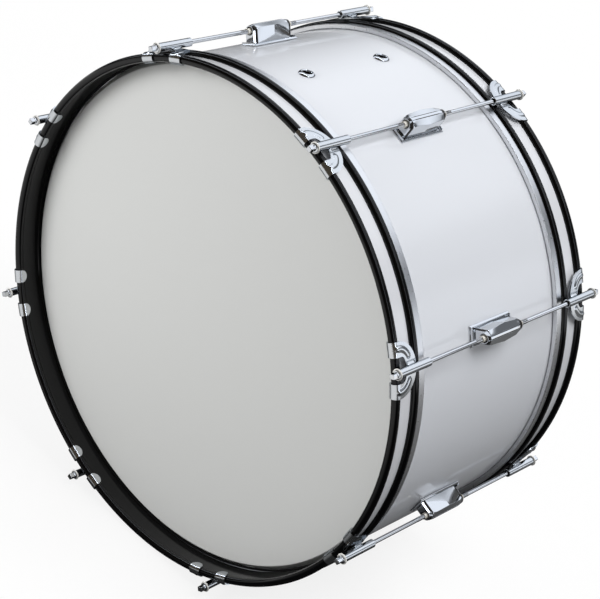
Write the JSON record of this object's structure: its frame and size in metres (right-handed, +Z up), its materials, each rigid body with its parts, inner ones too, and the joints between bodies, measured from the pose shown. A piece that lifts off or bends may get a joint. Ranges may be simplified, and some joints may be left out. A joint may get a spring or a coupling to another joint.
{
  "type": "marching bass drum",
  "caption": "Marching bass drum: a ply shell in gloss white wrap, two white heads, rolled black steel hoops with white inlays, and chrome lugs, claws and square-headed tension rods.",
  "frame": {"origin": "the middle of the drum's base, on the floor below the middle of the shell", "axes": "+Y along the drum's axis toward the rear head, the front head facing -Y; +Z up; the drum stands on its hoops"},
  "size_m": [0.6816, 0.4022, 0.6816],
  "materials": {
    "shell": "clear lacquer",
    "wrap": "gloss",
    "head_film": "smooth satin",
    "flesh_hoop": "satin",
    "hoop": "gloss",
    "inlay": "gloss",
    "chrome": "polished",
    "nut": "nickel-plated"
  },
  "bodies": {
    "drum": {"shell": "shell", "shell_wrap": "wrap", "front_head": "head_film", "front_flesh_hoop": "flesh_hoop", "front_hoop": "hoop", "front_hoop_inlay": "inlay", "front_vent": "chrome", "rear_head": "head_film", "rear_flesh_hoop": "flesh_hoop", "rear_hoop": "hoop", "rear_hoop_inlay": "inlay", "rear_vent": "chrome", "lug_1": "chrome", "swivel_nuts_1": "nut", "lug_2": "chrome", "swivel_nuts_2": "nut", "lug_3": "chrome", "swivel_nuts_3": "nut", "lug_4": "chrome", "swivel_nuts_4": "nut", "lug_5": "chrome", "swivel_nuts_5": "nut", "lug_6": "chrome", "swivel_nuts_6": "nut", "lug_7": "chrome", "swivel_nuts_7": "nut", "lug_8": "chrome", "swivel_nuts_8": "nut"},
    "front_claw_1": {"front_claw_1": "chrome"},
    "front_rod_1": {"front_rod_1": "chrome"},
    "front_claw_2": {"front_claw_2": "chrome"},
    "front_rod_2": {"front_rod_2": "chrome"},
    "front_claw_3": {"front_claw_3": "chrome"},
    "front_rod_3": {"front_rod_3": "chrome"},
    "front_claw_4": {"front_claw_4": "chrome"},
    "front_rod_4": {"front_rod_4": "chrome"},
    "front_claw_5": {"front_claw_5": "chrome"},
    "front_rod_5": {"front_rod_5": "chrome"},
    "front_claw_6": {"front_claw_6": "chrome"},
    "front_rod_6": {"front_rod_6": "chrome"},
    "front_claw_7": {"front_claw_7": "chrome"},
    "front_rod_7": {"front_rod_7": "chrome"},
    "front_claw_8": {"front_claw_8": "chrome"},
    "front_rod_8": {"front_rod_8": "chrome"},
    "rear_claw_1": {"rear_claw_1": "chrome"},
    "rear_rod_1": {"rear_rod_1": "chrome"},
    "rear_claw_2": {"rear_claw_2": "chrome"},
    "rear_rod_2": {"rear_rod_2": "chrome"},
    "rear_claw_3": {"rear_claw_3": "chrome"},
    "rear_rod_3": {"rear_rod_3": "chrome"},
    "rear_claw_4": {"rear_claw_4": "chrome"},
    "rear_rod_4": {"rear_rod_4": "chrome"},
    "rear_claw_5": {"rear_claw_5": "chrome"},
    "rear_rod_5": {"rear_rod_5": "chrome"},
    "rear_claw_6": {"rear_claw_6": "chrome"},
    "rear_rod_6": {"rear_rod_6": "chrome"},
    "rear_claw_7": {"rear_claw_7": "chrome"},
    "rear_rod_7": {"rear_rod_7": "chrome"},
    "rear_claw_8": {"rear_claw_8": "chrome"},
    "rear_rod_8": {"rear_rod_8": "chrome"}
  },
  "joints": [
    {"name": "front_claw_1_lift", "type": "slide", "parent": "drum", "child": "front_claw_1", "axis": [0, -1, 0], "range_m": [0, 0.01]},
    {"name": "front_rod_1_turn", "type": "hinge", "parent": "front_claw_1", "child": "front_rod_1", "pos_m": [0.13329, -0.19, 0.66259], "axis": [0, -1, 0], "range_deg": [0, 3600]},
    {"name": "front_claw_2_lift", "type": "slide", "parent": "drum", "child": "front_claw_2", "axis": [0, -1, 0], "range_m": [0, 0.01]},
    {"name": "front_rod_2_turn", "type": "hinge", "parent": "front_claw_2", "child": "front_rod_2", "pos_m": [0.32179, -0.19, 0.47409], "axis": [0, -1, 0], "range_deg": [0, 3600]},
    {"name": "front_claw_3_lift", "type": "slide", "parent": "drum", "child": "front_claw_3", "axis": [0, -1, 0], "range_m": [0, 0.01]},
    {"name": "front_rod_3_turn", "type": "hinge", "parent": "front_claw_3", "child": "front_rod_3", "pos_m": [0.32179, -0.19, 0.20751], "axis": [0, -1, 0], "range_deg": [0, 3600]},
    {"name": "front_claw_4_lift", "type": "slide", "parent": "drum", "child": "front_claw_4", "axis": [0, -1, 0], "range_m": [0, 0.01]},
    {"name": "front_rod_4_turn", "type": "hinge", "parent": "front_claw_4", "child": "front_rod_4", "pos_m": [0.13329, -0.19, 0.01901], "axis": [0, -1, 0], "range_deg": [0, 3600]},
    {"name": "front_claw_5_lift", "type": "slide", "parent": "drum", "child": "front_claw_5", "axis": [0, -1, 0], "range_m": [0, 0.01]},
    {"name": "front_rod_5_turn", "type": "hinge", "parent": "front_claw_5", "child": "front_rod_5", "pos_m": [-0.13329, -0.19, 0.01901], "axis": [0, -1, 0], "range_deg": [0, 3600]},
    {"name": "front_claw_6_lift", "type": "slide", "parent": "drum", "child": "front_claw_6", "axis": [0, -1, 0], "range_m": [0, 0.01]},
    {"name": "front_rod_6_turn", "type": "hinge", "parent": "front_claw_6", "child": "front_rod_6", "pos_m": [-0.32179, -0.19, 0.20751], "axis": [0, -1, 0], "range_deg": [0, 3600]},
    {"name": "front_claw_7_lift", "type": "slide", "parent": "drum", "child": "front_claw_7", "axis": [0, -1, 0], "range_m": [0, 0.01]},
    {"name": "front_rod_7_turn", "type": "hinge", "parent": "front_claw_7", "child": "front_rod_7", "pos_m": [-0.32179, -0.19, 0.47409], "axis": [0, -1, 0], "range_deg": [0, 3600]},
    {"name": "front_claw_8_lift", "type": "slide", "parent": "drum", "child": "front_claw_8", "axis": [0, -1, 0], "range_m": [0, 0.01]},
    {"name": "front_rod_8_turn", "type": "hinge", "parent": "front_claw_8", "child": "front_rod_8", "pos_m": [-0.13329, -0.19, 0.66259], "axis": [0, -1, 0], "range_deg": [0, 3600]},
    {"name": "rear_claw_1_lift", "type": "slide", "parent": "drum", "child": "rear_claw_1", "axis": [0, 1, 0], "range_m": [0, 0.01]},
    {"name": "rear_rod_1_turn", "type": "hinge", "parent": "rear_claw_1", "child": "rear_rod_1", "pos_m": [0.13329, 0.19, 0.66259], "axis": [0, 1, 0], "range_deg": [0, 3600]},
    {"name": "rear_claw_2_lift", "type": "slide", "parent": "drum", "child": "rear_claw_2", "axis": [0, 1, 0], "range_m": [0, 0.01]},
    {"name": "rear_rod_2_turn", "type": "hinge", "parent": "rear_claw_2", "child": "rear_rod_2", "pos_m": [0.32179, 0.19, 0.47409], "axis": [0, 1, 0], "range_deg": [0, 3600]},
    {"name": "rear_claw_3_lift", "type": "slide", "parent": "drum", "child": "rear_claw_3", "axis": [0, 1, 0], "range_m": [0, 0.01]},
    {"name": "rear_rod_3_turn", "type": "hinge", "parent": "rear_claw_3", "child": "rear_rod_3", "pos_m": [0.32179, 0.19, 0.20751], "axis": [0, 1, 0], "range_deg": [0, 3600]},
    {"name": "rear_claw_4_lift", "type": "slide", "parent": "drum", "child": "rear_claw_4", "axis": [0, 1, 0], "range_m": [0, 0.01]},
    {"name": "rear_rod_4_turn", "type": "hinge", "parent": "rear_claw_4", "child": "rear_rod_4", "pos_m": [0.13329, 0.19, 0.01901], "axis": [0, 1, 0], "range_deg": [0, 3600]},
    {"name": "rear_claw_5_lift", "type": "slide", "parent": "drum", "child": "rear_claw_5", "axis": [0, 1, 0], "range_m": [0, 0.01]},
    {"name": "rear_rod_5_turn", "type": "hinge", "parent": "rear_claw_5", "child": "rear_rod_5", "pos_m": [-0.13329, 0.19, 0.01901], "axis": [0, 1, 0], "range_deg": [0, 3600]},
    {"name": "rear_claw_6_lift", "type": "slide", "parent": "drum", "child": "rear_claw_6", "axis": [0, 1, 0], "range_m": [0, 0.01]},
    {"name": "rear_rod_6_turn", "type": "hinge", "parent": "rear_claw_6", "child": "rear_rod_6", "pos_m": [-0.32179, 0.19, 0.20751], "axis": [0, 1, 0], "range_deg": [0, 3600]},
    {"name": "rear_claw_7_lift", "type": "slide", "parent": "drum", "child": "rear_claw_7", "axis": [0, 1, 0], "range_m": [0, 0.01]},
    {"name": "rear_rod_7_turn", "type": "hinge", "parent": "rear_claw_7", "child": "rear_rod_7", "pos_m": [-0.32179, 0.19, 0.47409], "axis": [0, 1, 0], "range_deg": [0, 3600]},
    {"name": "rear_claw_8_lift", "type": "slide", "parent": "drum", "child": "rear_claw_8", "axis": [0, 1, 0], "range_m": [0, 0.01]},
    {"name": "rear_rod_8_turn", "type": "hinge", "parent": "rear_claw_8", "child": "rear_rod_8", "pos_m": [-0.13329, 0.19, 0.66259], "axis": [0, 1, 0], "range_deg": [0, 3600]}
  ],
  "couplings": [
    {"joint": "front_rod_1_turn", "follows": "front_claw_1_lift", "rad_per_m": 6283.2},
    {"joint": "front_rod_2_turn", "follows": "front_claw_2_lift", "rad_per_m": 6283.2},
    {"joint": "front_rod_3_turn", "follows": "front_claw_3_lift", "rad_per_m": 6283.2},
    {"joint": "front_rod_4_turn", "follows": "front_claw_4_lift", "rad_per_m": 6283.2},
    {"joint": "front_rod_5_turn", "follows": "front_claw_5_lift", "rad_per_m": 6283.2},
    {"joint": "front_rod_6_turn", "follows": "front_claw_6_lift", "rad_per_m": 6283.2},
    {"joint": "front_rod_7_turn", "follows": "front_claw_7_lift", "rad_per_m": 6283.2},
    {"joint": "front_rod_8_turn", "follows": "front_claw_8_lift", "rad_per_m": 6283.2},
    {"joint": "rear_rod_1_turn", "follows": "rear_claw_1_lift", "rad_per_m": 6283.2},
    {"joint": "rear_rod_2_turn", "follows": "rear_claw_2_lift", "rad_per_m": 6283.2},
    {"joint": "rear_rod_3_turn", "follows": "rear_claw_3_lift", "rad_per_m": 6283.2},
    {"joint": "rear_rod_4_turn", "follows": "rear_claw_4_lift", "rad_per_m": 6283.2},
    {"joint": "rear_rod_5_turn", "follows": "rear_claw_5_lift", "rad_per_m": 6283.2},
    {"joint": "rear_rod_6_turn", "follows": "rear_claw_6_lift", "rad_per_m": 6283.2},
    {"joint": "rear_rod_7_turn", "follows": "rear_claw_7_lift", "rad_per_m": 6283.2},
    {"joint": "rear_rod_8_turn", "follows": "rear_claw_8_lift", "rad_per_m": 6283.2}
  ]
}
